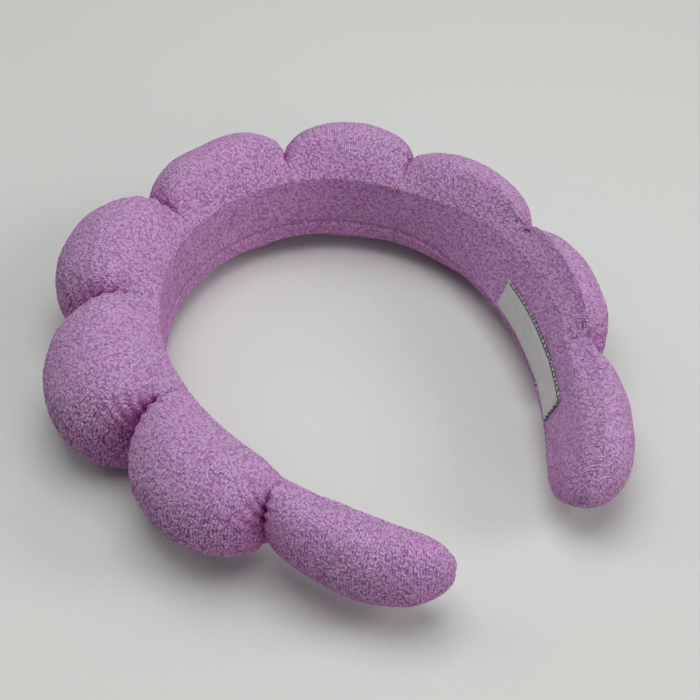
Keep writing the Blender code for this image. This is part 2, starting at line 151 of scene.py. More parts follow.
def lobe_full(s, lobe, soft=False):
    """How full the lobe is at each station: 0 at a gather, 1 at mid lobe."""
    lo, hi = EDGES[lobe], EDGES[lobe + 1]
    t = np.clip((s - (lo + hi) / 2) / ((hi - lo) / 2), -1, 1)
    full = (1 - np.abs(t) ** POWER) ** (1.5 if soft else 1 / ROOT)
    tip = np.where(lobe == 0, -t, np.where(lobe == 8, t, -1.0))
    neck = np.clip(np.where(t < 0, lobe - 1, lobe), 0, 7)
    return np.where(tip > 0, 1.0, full), tip.clip(0, 1), neck


def lobe_size(s, lobe, soft=False):
    """Depth, half height, shift of the whole section and cap factor."""
    full, tip, neck = lobe_full(s, lobe, soft)
    depth = (NECK_D[neck] + (DEPTH[lobe] - NECK_D[neck]) * full) * (1 - TAPER_D * tip ** 1.8)
    half = (NECK_H[neck] + (HALF[lobe] - NECK_H[neck]) * full) * (1 - TAPER_H * tip ** 1.8)
    e = np.where(lobe == 0, (TIP_L + TIP_ROUND - s) / TIP_ROUND,
                 np.where(lobe == 8, (s - TIP_R + TIP_ROUND) / TIP_ROUND, 0.0))
    end = np.sqrt(np.clip(1 - np.clip(e, 0, 1) ** 2.2, 0, 1))
    shift = -np.where(lobe == 0, TIP_IN[0], TIP_IN[1]) * tip ** 2
    return depth, half, shift, end, full, tip


def sleeve_rings(s, lobe, ring):
    """Outline of the sleeve at each station: n, h and perimeter."""
    made = []
    for soft in (False, True):
        depth, half, shift, end, full, tip = lobe_size(s, lobe, soft)
        tipped = (lobe == 0) | (lobe == 8)
        share = np.where(tipped, 0.48, 0.42) * full + 0.60 * (1 - full)
        mid = share * depth
        face = np.minimum(FACE_H / 2, 0.85 * half)
        centre = depth / 2
        near = centre * (1 - end)
        depth = centre + (depth - centre) * end
        mid = centre + (mid - centre) * end
        half, face = half * end, face * end
        round_tip = np.clip(tip * 1.1 - 0.1, 0, 1)
        c, sn, w = np.cos(ANGLES)[None], np.sin(ANGLES)[None], np.abs(ANGLES)[None]
        side = np.where(ANGLES >= 0, 1.0, -1.0)[None]
        D, H, N, F, R = depth[:, None], half[:, None], mid[:, None], face[:, None], near[:, None]
        fold = math.radians(132)
        n_out = N + (D - N) * np.abs(c) ** 0.95
        h_out = side * H * np.abs(sn) ** 0.95
        q = np.sin(np.clip((w - np.pi / 2) / (fold - np.pi / 2), 0, 1) * np.pi / 2)
        n_top = N - (N - R) * q
        h_top = side * (F + (H - F) * (1 - q ** 1.75))
        g = 1 - np.clip((w - fold) / (np.pi - fold), 0, 1)
        n_in = R + 0 * w - 0.45 * (1 - g ** 2) * np.clip(F / 12.7, 0, 1)
        h_in = side * F * g
        n = np.where(w <= np.pi / 2, n_out, np.where(w <= fold, n_top, n_in))
        h = np.where(w <= np.pi / 2, h_out, np.where(w <= fold, h_top, h_in))
        rn = centre[:, None] + (depth - near)[:, None] / 2 * c
        rh = H * sn
        k = round_tip[:, None] ** 1.3 * 0.8
        made.append((n * (1 - k) + rn * k + shift[:, None], h * (1 - k) + rh * k))
    # next to the inner face the pinch fades into a smooth saddle
    k = smooth((np.abs(ANGLES) - math.radians(84)) / math.radians(38))[None]
    n = made[0][0] * (1 - k) + made[1][0] * k
    h = made[0][1] * (1 - k) + made[1][1] * k
    for _ in range(14):      # the padded folds are soft
        n = (np.roll(n, 1, 1) + 2 * n + np.roll(n, -1, 1)) / 4
        h = (np.roll(h, 1, 1) + 2 * h + np.roll(h, -1, 1)) / 4
    # beyond the label the right arm's upper fold rounds off
    step = 2 * math.pi / len(ANGLES)
    nb, hb = n.copy(), h.copy()
    for _ in range(int(2 * (math.radians(11.0) / step) ** 2)):
        nb = (np.roll(nb, 1, 1) + 2 * nb + np.roll(nb, -1, 1)) / 4
        hb = (np.roll(hb, 1, 1) + 2 * hb + np.roll(hb, -1, 1)) / 4
    k = smooth((s - 138.0) / 20.0)[:, None] * smooth((ANGLES[None] - math.radians(60)) / math.radians(40))
    k = k * smooth((math.radians(178) - ANGLES[None]) / math.radians(14))
    n, h = n * (1 - k) + nb * k, h * (1 - k) + hb * k
    seg = np.hypot(np.diff(n, axis=1, append=n[:, :1]), np.diff(h, axis=1, append=h[:, :1]))
    run = np.concatenate([np.zeros((len(s), 1)), np.cumsum(seg, 1)], 1)
    n2, h2 = np.hstack([n, n[:, :1]]), np.hstack([h, h[:, :1]])
    want = np.arange(ring) / ring
    N_, H_ = np.empty((len(s), ring)), np.empty((len(s), ring))
    for j in range(len(s)):
        d = want * run[j, -1]
        N_[j], H_[j] = np.interp(d, run[j], n2[j]), np.interp(d, run[j], h2[j])
    return N_, H_, run[:, -1]


def stations(step):
    """Stations spaced evenly over the outer curve; s, lobe and the mixed length."""
    ss, kk = [], []
    for k in range(9):
        lo, hi = EDGES[k], EDGES[k + 1]
        a = np.linspace(-np.pi / 2, np.pi / 2, 2001)
        a = a[:-1] if k < 8 else a
        ss.append((lo + hi) / 2 + (hi - lo) / 2 * np.sin(a))
        kk.append(np.full(len(a), k))
    s, k = np.concatenate(ss), np.concatenate(kk)
    depth, half, shift, end, full, tip = lobe_size(s, k)
    depth = depth / 2 + depth / 2 * end + shift
    p = place(s, depth, 0.0)
    out = np.concatenate([[0], np.cumsum(np.linalg.norm(np.diff(p, axis=0), axis=1))])
    mix = 0.8 * out + 0.2 * (s - s[0])
    count = int(mix[-1] / step)
    # whole number of steps in each half lobe, so that a ring falls on each cut
    marks = [0.0]
    for i in range(9):
        m = (EDGES[i] + EDGES[i + 1]) / 2
        if i > 0:
            marks.append(np.interp(EDGES[i], s, mix))
        if 0 < i < 8:
            marks.append(np.interp(m, s, mix))
    marks.append(mix[-1])
    at = [np.array([0.0])]
    for a, b in zip(marks[:-1], marks[1:]):
        n = max(4, int(round((b - a) / step / 4.0)) * 4)
        at.append(np.linspace(a, b, n + 1)[1:])
    at = np.concatenate(at)
    s_at = np.interp(at, mix, s)
    s_even = np.interp(at, marks, np.interp(marks, mix, s))
    lobe = np.searchsorted(GATHERS, s_at - 1e-9).clip(0, 8)
    mid_i = [int(np.argmin(np.abs(s_at - (EDGES[i] + EDGES[i + 1]) / 2))) for i in range(1, 8)]
    return s_at, lobe, at, mid_i, s_even


def normals(P):
    du = np.gradient(P, axis=0)
    dv = (np.roll(P, -1, 1) - np.roll(P, 1, 1)) / 2
    n = np.cross(du, dv)
    n /= np.linalg.norm(n, axis=-1, keepdims=True) + 1e-12
    return n


def soft_blur(A, times, ring_wrap=True):
    for _ in range(times):
        A = (np.roll(A, 1, 1) + 2 * A + np.roll(A, -1, 1)) / 4
        B = A.copy()
        B[1:-1] = (A[:-2] + 2 * A[1:-1] + A[2:]) / 4
        A = B
    return A


def resample(A, rows_from, rows_to, ring_to):
    """Cubic resampling of a (rows, ring, c) grid; the ring wraps."""
    def cubic(f):
        return ((-0.5 * f ** 3 + f ** 2 - 0.5 * f), (1.5 * f ** 3 - 2.5 * f ** 2 + 1),
                (-1.5 * f ** 3 + 2 * f ** 2 + 0.5 * f), (0.5 * f ** 3 - 0.5 * f ** 2))
    rows, ring = A.shape[:2]
    x = np.arange(ring_to) / ring_to * ring
    i, f = np.floor(x).astype(int), x - np.floor(x)
    w = cubic(f)
    B = sum(w[k][None, :, None] * A[:, (i + k - 1) % ring] for k in range(4))
    y = np.interp(rows_to, rows_from, np.arange(rows))
    i, f = np.floor(y).astype(int), y - np.floor(y)
    w = cubic(f)
    return sum(w[k][:, None, None] * B[np.clip(i + k - 1, 0, rows - 1)] for k in range(4))


# ---- cloth simulation on the coarse sleeve --------------------------------------
def new_mesh(name, verts, faces, smooth=True):
    mesh = bpy.data.meshes.new(name)
    mesh.from_pydata([tuple(v) for v in verts], [], faces)
    if smooth:
        mesh.polygons.foreach_set("use_smooth", [True] * len(mesh.polygons))
    mesh.update()
    ob = bpy.data.objects.new(name, mesh)
    bpy.context.scene.collection.objects.link(ob)
    return ob


def grid_faces(rows, ring, start=0):
    j, i = np.meshgrid(np.arange(rows - 1), np.arange(ring), indexing="ij")
    a = start + j * ring + i
    b = start + j * ring + (i + 1) % ring
    return np.stack([a, b, b + ring, a + ring], -1).reshape(-1, 4)


def swell_by_cloth(P, s, lobe, ring, perim):
    """Air pressure in the sleeve, held at the gathers and along the inner face."""
    rows = len(s)
    faces = [tuple(f) for f in grid_faces(rows, ring)]
    faces.append(tuple(range(ring)))
    faces.append(tuple((rows - 1) * ring + i for i in reversed(range(ring))))
    ob = new_mesh("swell", (P.reshape(-1, 3) * MM * 10), faces)   # ten times up: cloth is tuned for metres
    gap = np.min(np.abs(s[:, None] - GATHERS[None]), 1)
    v = np.arange(ring) / ring
    inner = np.minimum(v, 1 - v)[None] * perim[:, None]     # mm from the middle of the inner face
    face = np.minimum(FACE_H / 2, perim / 9.0)[:, None]
    hold = np.maximum(np.clip(1.6 - gap / 1.0, 0, 1)[:, None] * np.ones(ring)[None],
                      np.clip((face + 2.0 - inner) / 3.0, 0, 1))
    hold[:2], hold[-2:] = 1.0, 1.0
    group = ob.vertex_groups.new(name="hold")
    flat = hold.ravel()
    for w in np.unique(np.round(flat, 1)):
        idx = np.where(np.abs(np.round(flat, 1) - w) < 1e-6)[0]
        if w > 0:
            group.add([int(k) for k in idx], float(w), "REPLACE")
    mod = ob.modifiers.new("cloth", "CLOTH")
    st = mod.settings
    st.quality = 5
    st.mass = 0.4
    st.tension_stiffness = st.compression_stiffness = 12
    st.shear_stiffness = 6
    st.bending_stiffness = 0.6
    st.tension_damping = st.compression_damping = 12
    st.air_damping = 4
    st.use_pressure = True
    st.uniform_pressure_force = 4.0
    st.shrink_min = -0.05
    st.vertex_group_mass = "hold"
    st.effector_weights.gravity = 0.0
    mod.collision_settings.use_self_collision = False
    mod.collision_settings.use_collision = False
    scene = bpy.context.scene
    scene.frame_start, scene.frame_end = 1, 20
    mod.point_cache.frame_start, mod.point_cache.frame_end = 1, 20
    for f in range(1, 21):
        scene.frame_set(f)
    dg = bpy.context.evaluated_depsgraph_get()
    me = ob.evaluated_get(dg).to_mesh()
    co = np.empty(len(me.vertices) * 3)
    me.vertices.foreach_get("co", co)
    Q = co.reshape(rows, ring, 3) / (MM * 10)
    scene.frame_set(1)
    mesh = ob.data
    bpy.data.objects.remove(ob, do_unlink=True)
    bpy.data.meshes.remove(mesh)
    move = Q - P
    size = np.linalg.norm(move, axis=-1, keepdims=True)
    cap = 3.2
    move *= np.minimum(1.0, cap / np.maximum(size, 1e-9))
    print("cloth: moved up to %.2f mm, mean %.2f mm" % (size.max(), size.mean()))
    return move


# ---- materials -----------------------------------------------------------------
def tree(name):
    mat = bpy.data.materials.new(name)
    mat.use_nodes = True
    nt = mat.node_tree
    return mat, nt, nt.nodes["Principled BSDF"]


def node(nt, kind, **props):
    n = nt.nodes.new(kind)
    for k, v in props.items():
        setattr(n, k, v)
    return n


def ramp(nt, stops):
    n = node(nt, "ShaderNodeValToRGB")
    el = n.color_ramp.elements
    while len(el) > 1:
        el.remove(el[-1])
    el[0].position, el[0].color = stops[0][0], (*stops[0][1], 1)
    for pos, col in stops[1:]:
        e = el.new(pos)
        e.color = (*col, 1)
    return n


ROW_PITCH, CURL_SCALE = 0.92, 1.35      # mm, 1/mm
# loop colours: the tip colour is a painted highlight, the gap colours are painted shade
LILAC_TIP_HIGHLIGHT = (0.750, 0.505, 0.780)
LILAC = (0.545, 0.290, 0.562)
LILAC_GAP_SHADE = (0.335, 0.120, 0.328)
LILAC_DEEP_SHADE = (0.170, 0.050, 0.165)


def maths(nt, op, a, b=None, c=None):
    n = node(nt, "ShaderNodeMath", operation=op)
    for i, x in enumerate((a, b, c)):
        if x is None:
            continue
        if isinstance(x, (int, float)):
            n.inputs[i].default_value = x
        else:
            nt.links.new(x, n.inputs[i])
    return n.outputs[0]


def terry_material():
    """Curled loops in fine rows: the colour follows the relief, light on the curls of yarn as painted highlight
    and darker down in the hollows as painted shade, with a soft sheen.
    """
    mat, nt, bsdf = tree("terry_loops")
    pile = node(nt, "ShaderNodeAttribute", attribute_name="pile").outputs["Fac"]
    tone = node(nt, "ShaderNodeAttribute", attribute_name="tone").outputs["Fac"]
    rest = node(nt, "ShaderNodeAttribute", attribute_name="rest").outputs["Vector"]
    course = node(nt, "ShaderNodeAttribute", attribute_name="course").outputs["Fac"]
    open_ = node(nt, "ShaderNodeAttribute", attribute_name="open").outputs["Fac"]

    def noise(scale, detail=2, rough=0.5, out="Fac"):
        n = node(nt, "ShaderNodeTexNoise")
        n.inputs["Scale"].default_value = scale
        n.inputs["Detail"].default_value = detail
        n.inputs["Roughness"].default_value = rough
        nt.links.new(rest, n.inputs["Vector"])
        return n.outputs[out]

    # rows of loops across the band, wavering a little
    waver = maths(nt, "MULTIPLY_ADD", noise(0.16, 2), 3.0, maths(nt, "MULTIPLY", noise(1.1, 1), 0.55))
    rows = maths(nt, "MULTIPLY", maths(nt, "ADD", course, waver), 2 * math.pi / ROW_PITCH)
    rows = maths(nt, "MULTIPLY_ADD", maths(nt, "SINE", rows), 0.5, 0.5)
    # curls: thin bright lines that close on themselves
    curl = maths(nt, "ABSOLUTE", maths(nt, "SUBTRACT", noise(CURL_SCALE, 1, 0.4), 0.5))
    curl = maths(nt, "MULTIPLY_ADD", curl, -11.0, 1.0)
    curl = maths(nt, "MAXIMUM", curl, 0.0)
    cells = node(nt, "ShaderNodeTexVoronoi")
    cells.inputs["Scale"].default_value = 1.02
    nt.links.new(rest, cells.inputs["Vector"])
    holes = ramp(nt, [(0.0, (0.30,) * 3), (0.14, (0.55,) * 3), (0.29, (1.0,) * 3), (0.42, (0.85,) * 3), (0.56, (0.30,) * 3), (0.70, (0.0,) * 3)])
    nt.links.new(cells.outputs["Distance"], holes.inputs["Fac"])
    fibre = noise(3.4, 3, 0.7)
    relief = maths(nt, "MULTIPLY", holes.outputs["Color"], 0.44)
    relief = maths(nt, "MULTIPLY_ADD", curl, 0.32, relief)
    relief = maths(nt, "MULTIPLY_ADD", rows, 0.27, relief)
    relief = maths(nt, "MULTIPLY_ADD", fibre, 0.30, relief)        # mostly 0.2 to 1.0
    fac = maths(nt, "MULTIPLY_ADD", pile, 0.18, maths(nt, "MULTIPLY_ADD", relief, 0.98, -0.64))
    # the loops stand taller on the sides, and there the same factor also strengthens the painted shade in the
    # hollows and the painted highlight on the loop tops
    stand_and_side_shade = node(nt, "ShaderNodeAttribute", attribute_name="stand_and_side_shade").outputs["Fac"]
    fac = maths(nt, "MULTIPLY_ADD", fac, stand_and_side_shade, 0.53)
    # painted shade and highlight: the colour runs from dark in the hollows of the relief to light on the loop
    # tops
    colour = ramp(nt, [(0.02, LILAC_DEEP_SHADE), (0.26, LILAC_GAP_SHADE), (0.54, LILAC), (0.98, LILAC_TIP_HIGHLIGHT)])
    nt.links.new(fac, colour.inputs["Fac"])
    hsv = node(nt, "ShaderNodeHueSaturation")
    nt.links.new(colour.outputs["Color"], hsv.inputs["Color"])
    nt.links.new(maths(nt, "MULTIPLY_ADD", tone, 0.07, 0.965), hsv.inputs["Value"])
    nt.links.new(maths(nt, "MULTIPLY_ADD", noise(0.05, 3), 0.24, 0.88), hsv.inputs["Saturation"])
    # painted shade: where loops face other loops the colour is made darker and more saturated, painted in for the
    # light that bounces among them and takes on their colour
    painted_shade_mix = node(nt, "ShaderNodeMix", data_type="RGBA", blend_type="MULTIPLY")
    painted_bounce_shade = ramp(nt, [(0.0, (1.25, 0.52, 1.02)), (0.25, (1.18, 0.68, 1.00)), (0.62, (1.10, 0.85, 0.99)), (0.92, (1.0, 1.0, 1.0))])
    nt.links.new(open_, painted_bounce_shade.inputs["Fac"])
    painted_shade_mix.inputs["Factor"].default_value = 1.0
    nt.links.new(hsv.outputs["Color"], painted_shade_mix.inputs["A"])
    nt.links.new(painted_bounce_shade.outputs["Color"], painted_shade_mix.inputs["B"])
    nt.links.new(painted_shade_mix.outputs["Result"], bsdf.inputs["Base Color"])
    nt.links.new(maths(nt, "MULTIPLY_ADD", pile, -0.10, 0.97), bsdf.inputs["Roughness"])
    bsdf.inputs["Specular IOR Level"].default_value = 0.10
    nt.links.new(maths(nt, "MULTIPLY_ADD", open_, 0.40, -0.06), bsdf.inputs["Sheen Weight"])
    bsdf.inputs["Sheen Roughness"].default_value = 0.4
    bsdf.inputs["Sheen Tint"].default_value = (0.97, 0.72, 0.96, 1)
    bump = node(nt, "ShaderNodeBump")
    bump.inputs["Strength"].default_value = 0.9
    bump.inputs["Distance"].default_value = 0.0008
    nt.links.new(relief, bump.inputs["Height"])
    nt.links.new(bump.outputs["Normal"], bsdf.inputs["Normal"])
    return mat


def noise_material(name, dark, light, scale, rough, bump_mm, detail=4, sheen=0.0, stretch=(1, 1, 1), spec=0.3):
    """Two tones broken up by noise, with matching relief."""
    mat, nt, bsdf = tree(name)
    tex = node(nt, "ShaderNodeTexCoord")
    mp = node(nt, "ShaderNodeMapping")
    mp.inputs["Scale"].default_value = stretch
    nt.links.new(tex.outputs["Object"], mp.inputs["Vector"])
    no = node(nt, "ShaderNodeTexNoise")
    no.inputs["Scale"].default_value = scale
    no.inputs["Detail"].default_value = detail
    nt.links.new(mp.outputs["Vector"], no.inputs["Vector"])
    col = ramp(nt, [(0.3, dark), (0.7, light)])
    nt.links.new(no.outputs["Fac"], col.inputs["Fac"])
    nt.links.new(col.outputs["Color"], bsdf.inputs["Base Color"])
    rr = node(nt, "ShaderNodeMapRange")
    rr.inputs["To Min"].default_value = max(0.0, rough - 0.08)
    rr.inputs["To Max"].default_value = min(1.0, rough + 0.08)
    nt.links.new(no.outputs["Fac"], rr.inputs["Value"])
    nt.links.new(rr.outputs["Result"], bsdf.inputs["Roughness"])
    bsdf.inputs["Specular IOR Level"].default_value = spec
    bsdf.inputs["Sheen Weight"].default_value = sheen
    bp = node(nt, "ShaderNodeBump")
    bp.inputs["Strength"].default_value = 0.6
    bp.inputs["Distance"].default_value = bump_mm * MM
    nt.links.new(no.outputs["Fac"], bp.inputs["Height"])
    nt.links.new(bp.outputs["Normal"], bsdf.inputs["Normal"])
    return mat


def foam_material():
    mat, nt, bsdf = tree("open_cell_foam")
    tex = node(nt, "ShaderNodeTexCoord")
    cells = node(nt, "ShaderNodeTexVoronoi")
    cells.inputs["Scale"].default_value = 900
    nt.links.new(tex.outputs["Object"], cells.inputs["Vector"])
    col = ramp(nt, [(0.0, (0.42, 0.38, 0.30)), (0.45, (0.78, 0.75, 0.66)), (1.0, (0.86, 0.84, 0.78))])
    nt.links.new(cells.outputs["Distance"], col.inputs["Fac"])
    nt.links.new(col.outputs["Color"], bsdf.inputs["Base Color"])
    bsdf.inputs["Roughness"].default_value = 0.95
    bp = node(nt, "ShaderNodeBump")
    bp.inputs["Distance"].default_value = 0.0004
    nt.links.new(cells.outputs["Distance"], bp.inputs["Height"])
    nt.links.new(bp.outputs["Normal"], bsdf.inputs["Normal"])
    return mat


def thread_material(name, dark, light):
    """Plied thread: tone turns with the lay along the generated curve."""
    mat, nt, bsdf = tree(name)
    tex = node(nt, "ShaderNodeTexCoord")
    wave = node(nt, "ShaderNodeTexWave", wave_type="BANDS", bands_direction="DIAGONAL")
    wave.inputs["Scale"].default_value = 900
    wave.inputs["Distortion"].default_value = 3
    wave.inputs["Detail"].default_value = 2
    nt.links.new(tex.outputs["Object"], wave.inputs["Vector"])
    col = ramp(nt, [(0.2, dark), (0.8, light)])
    nt.links.new(wave.outputs["Fac"], col.inputs["Fac"])
    nt.links.new(col.outputs["Color"], bsdf.inputs["Base Color"])
    bsdf.inputs["Roughness"].default_value = 0.7
    bsdf.inputs["Sheen Weight"].default_value = 0.2
    bp = node(nt, "ShaderNodeBump")
    bp.inputs["Distance"].default_value = 0.0001
    nt.links.new(wave.outputs["Fac"], bp.inputs["Height"])
    nt.links.new(bp.outputs["Normal"], bsdf.inputs["Normal"])
    return mat


def satin_material():
    """Woven satin tape: fine crossing yarns."""
    mat, nt, bsdf = tree("woven_satin")
    warp = node(nt, "ShaderNodeAttribute", attribute_name="warp")
    weft = node(nt, "ShaderNodeAttribute", attribute_name="weft")
    def stripes(src, per):
        m = node(nt, "ShaderNodeMath", operation="MULTIPLY")
        m.inputs[1].default_value = 2 * math.pi / per
        nt.links.new(src.outputs["Fac"], m.inputs[0])
        c = node(nt, "ShaderNodeMath", operation="SINE")
        nt.links.new(m.outputs[0], c.inputs[0])
        h = node(nt, "ShaderNodeMath", operation="MULTIPLY_ADD")
        h.inputs[1].default_value = 0.5
        h.inputs[2].default_value = 0.5
        nt.links.new(c.outputs[0], h.inputs[0])
        return h
    a, b = stripes(warp, 0.42), stripes(weft, 0.55)
    m = node(nt, "ShaderNodeMath", operation="MULTIPLY")
    nt.links.new(a.outputs[0], m.inputs[0])
    nt.links.new(b.outputs[0], m.inputs[1])
    tex = node(nt, "ShaderNodeTexCoord")
    no = node(nt, "ShaderNodeTexNoise")
    no.inputs["Scale"].default_value = 300
    nt.links.new(tex.outputs["Object"], no.inputs["Vector"])
    s = node(nt, "ShaderNodeMath", operation="MULTIPLY_ADD")
    s.inputs[1].default_value = 0.45
    nt.links.new(no.outputs["Fac"], s.inputs[0])
    nt.links.new(m.outputs[0], s.inputs[2])
    col = ramp(nt, [(0.15, (0.36, 0.36, 0.35)), (0.95, (0.58, 0.585, 0.57))])
    nt.links.new(s.outputs[0], col.inputs["Fac"])
    nt.links.new(col.outputs["Color"], bsdf.inputs["Base Color"])
    bsdf.inputs["Roughness"].default_value = 0.42
    bsdf.inputs["Anisotropic"].default_value = 0.5
    bsdf.inputs["Sheen Weight"].default_value = 0.15
    bp = node(nt, "ShaderNodeBump")
    bp.inputs["Strength"].default_value = 0.4
    bp.inputs["Distance"].default_value = 0.0001
    nt.links.new(m.outputs[0], bp.inputs["Height"])
    nt.links.new(bp.outputs["Normal"], bsdf.inputs["Normal"])
    return mat


TERRY = terry_material()
FOAM = foam_material()
PLASTIC = noise_material("moulded_plastic", (0.66, 0.66, 0.64), (0.76, 0.76, 0.74), 180, 0.42, 0.04)
LILAC_THREAD = thread_material("lilac_thread", (0.22, 0.09, 0.25), (0.42, 0.22, 0.46))
BLACK_THREAD = thread_material("black_thread", (0.006, 0.006, 0.007), (0.035, 0.034, 0.038))
SATIN = satin_material()


# ---- transform helpers -----------------------------------------------------------
def blend_at(ob, i, reach=9.0):
    """Work out two points on the hoop line either side of gather i (0..7), which nothing uses, and bake the
    piece's transform into its mesh.
    """
    g = GATHERS[i]
    start, end = place(g - reach, 6.8, 0.0) * MM, place(g + reach, 6.8, 0.0) * MM
    # the straight line between the two points is close to the hoop line there
    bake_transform(ob)


CUTS = [(EDGES[i] + EDGES[i + 1]) / 2 for i in range(1, 8)]      # middle of lobes 2 to 8
SPANS = list(zip([TIP_L] + CUTS, CUTS + [TIP_R]))


# ---- build the sleeve -------------------------------------------------------------
STEP, RING = ((0.33, 400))
s_f, lobe_f, u_f, mid_f, s_even = stations(STEP)
n_f, h_f, perim_f = sleeve_rings(s_f, lobe_f, RING)
P = place(s_f[:, None], n_f, h_f)
print("sleeve grid", P.shape, round(time.time() - T0, 1), "s")

near_g = np.argmin(np.abs(s_f[:, None] - GATHERS[None]), 1)
v_f = np.arange(RING) / RING
side_v = np.where(v_f < 0.5, v_f, v_f - 1.0)[None]
size_f = lobe_size(s_f, lobe_f, True)
face_f = np.minimum(FACE_H / 2, 0.85 * size_f[1]) * size_f[3]
w_ = np.exp(-np.linspace(-2.5, 2.5, 41) ** 2)
face_f = np.convolve(np.pad(face_f, 20, mode="edge"), w_ / w_.sum(), "valid")

# rows of the grid are packed where the lobes dive in to a gather; along the inner
# face they are spread evenly instead
spread = 1 - smooth((np.abs(side_v * perim_f[:, None]) - face_f[:, None] - 3.0) / 13.0)
S2 = s_f[:, None] + (s_even - s_f)[:, None] * spread
arc_f = side_v * np.interp(S2, s_f, perim_f)            # mm from mid inner face
past_fold = np.abs(arc_f) - np.interp(S2, s_f, face_f)
gap_f = np.abs(S2 - GATHERS[near_g][:, None])


def slide(A):
    """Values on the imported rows, moved to the spread rows."""
    out = np.empty_like(A)
    for i in range(A.shape[1]):
        for c in range(A.shape[2]):
            out[:, i, c] = np.interp(S2[:, i], s_f, A[:, i, c])
    return out


# the fabric's courses run with the rows of the grid
course = u_f[:, None] + 0 * arc_f

s_c, lobe_c, u_c = stations(3.0)[:3]
ring_c = 60
n_c, h_c, perim_c = sleeve_rings(s_c, lobe_c, ring_c)
P_c = place(s_c[:, None], n_c, h_c)
move = swell_by_cloth(P_c, s_c, lobe_c, ring_c, perim_c)
# the fabric next to the inner face is held by the hoop, so it swells least there
past_c = np.minimum(np.arange(ring_c), ring_c - np.arange(ring_c))[None] / ring_c * perim_c[:, None] - 12.7
move = soft_blur(move * smooth((past_c + 1.0) / 13.0)[..., None], 1)
P = P + resample(move, u_c, u_f, RING)
print("cloth done", round(time.time() - T0, 1), "s")

P = slide(P)


# how open each spot is to the sky: rays from a coarse copy of the form; this sets the painted shade in the
# terry's colour
def openness(P, rays=40):
    coarse = P[::8, ::8]
    r, c = coarse.shape[:2]
    tree_ = BVHTree.FromPolygons([tuple(v) for v in coarse.reshape(-1, 3)],
                                 [tuple(f) for f in grid_faces(r, c).tolist()])
    N = normals(soft_blur(coarse, 1))
    g = (np.arange(rays) + 0.5) / rays
    phi = np.arange(rays) * 2.39996
    local = np.stack([np.sqrt(g) * np.cos(phi), np.sqrt(g) * np.sin(phi), np.sqrt(1 - g)], -1)
    out = np.empty((r, c))
    for a in range(r):
        for b in range(c):
            n = N[a, b]
            t = np.cross(n, (0.31, 0.17, 0.93))
            t /= np.linalg.norm(t) + 1e-9
            dirs = local @ np.stack([t, np.cross(n, t), n])
            o = Vector(coarse[a, b] + n * 0.5)
            seen = 0.0
            for d in dirs:
                hit = tree_.ray_cast(o, Vector(d), 60.0)[0]
                if hit is None:
                    seen += 1.0 if d[2] > -0.05 else 0.55     # the pale table gives some back
            out[a, b] = seen / rays
    out = soft_blur(out, 1)
    up = resample(out[..., None], np.arange(r) * 8.0, np.arange(len(P)) * 1.0, P.shape[1])
    return np.clip(up[..., 0], 0, 1)


OPEN = openness(P)
print("openness", round(time.time() - T0, 1), "s", OPEN.min(), OPEN.mean())

# soft lumps of the stuffing
N0 = normals(soft_blur(P, 6))
lump = 0.65 * vnoise(P, 17.0, 11) + 0.32 * vnoise(P, 7.5, 12)
wide = np.clip(past_fold / 8.0, 0, 1)
P = P + N0 * (lump * (0.22 + 0.78 * wide))[..., None]

# puckers that fan out from each gather across the fabric
phase = hash01(21, np.arange(8.0), np.zeros(8)) * 6.28
wob = vnoise(np.stack([arc_f, u_f[:, None] * 0.25 + 0 * arc_f, 0 * arc_f + near_g[:, None] * 37.0], -1), 9.0, 22)
fade = np.exp(-np.maximum(gap_f - 0.4, 0) / 3.4) * smooth((past_fold - 3.0) / 9.0)
pucker = np.sin(arc_f * 2 * np.pi / 4.6 + phase[near_g][:, None] + 1.9 * wob)
P = P + N0 * (0.42 * fade * pucker)[..., None]

# the closing seam: a soft dip on the lower inner face, bitten a little by each stitch
SEAM_H = 6.2                                   # mm above the inner face's lower edge
def seam_height(s):
    return -np.interp(s, s_f, face_f) + SEAM_H - 2.6 * smooth((np.abs(s) - 45) / 55)


seam_d = np.where(np.abs(arc_f) < 20, arc_f - seam_height(S2), 99.0)
seam_d = seam_d - 0.35 * vnoise(np.stack([S2 * 0.3, 0 * S2, 0 * S2], -1), 6.0, 31)
seam_on = np.clip((TIP_R - 18 - S2) / 6, 0, 1) * np.clip((S2 - TIP_L - 18) / 6, 0, 1)
stitch = 0.75 + 0.25 * np.sin(S2 * 2 * np.pi / 3.0)
seam_dip = np.exp(-(seam_d / 0.7) ** 2) * seam_on * stitch
ridge = np.exp(-((seam_d + 2.0) / 1.3) ** 2) * seam_on
P = P - N0 * (0.60 * seam_dip - 0.20 * ridge)[..., None]

# pressed flat where it meets the table
floor_gap = 0.45
low = P[..., 2] < floor_gap
P[..., 2] = np.where(low, floor_gap - 0.15 * (1 - np.exp(-(floor_gap - P[..., 2]) / 2.0)), P[..., 2])

# terry loops, ribbed along the fabric's rows, shorter on the inner face
NORM = normals(soft_blur(P, 2))
inner_w = smooth(-past_fold / 2.5)
warp_a = vnoise(P, 4.0, 41)
tufts, tone = loops_3d(P, 0.76, 51)
rows_ = 0.5 + 0.5 * np.cos(2 * np.pi * (course / 0.99 + 0.42 * warp_a))
rib_w = 0.26 + 0.26 * inner_w
pile = np.clip(tufts * (1 - rib_w) + rows_ * rib_w * (0.55 + 0.45 * tone), 0, 1)
crush = 1.0 - 0.35 * np.exp(-gap_f / 1.6) * smooth(past_fold / 6.0)
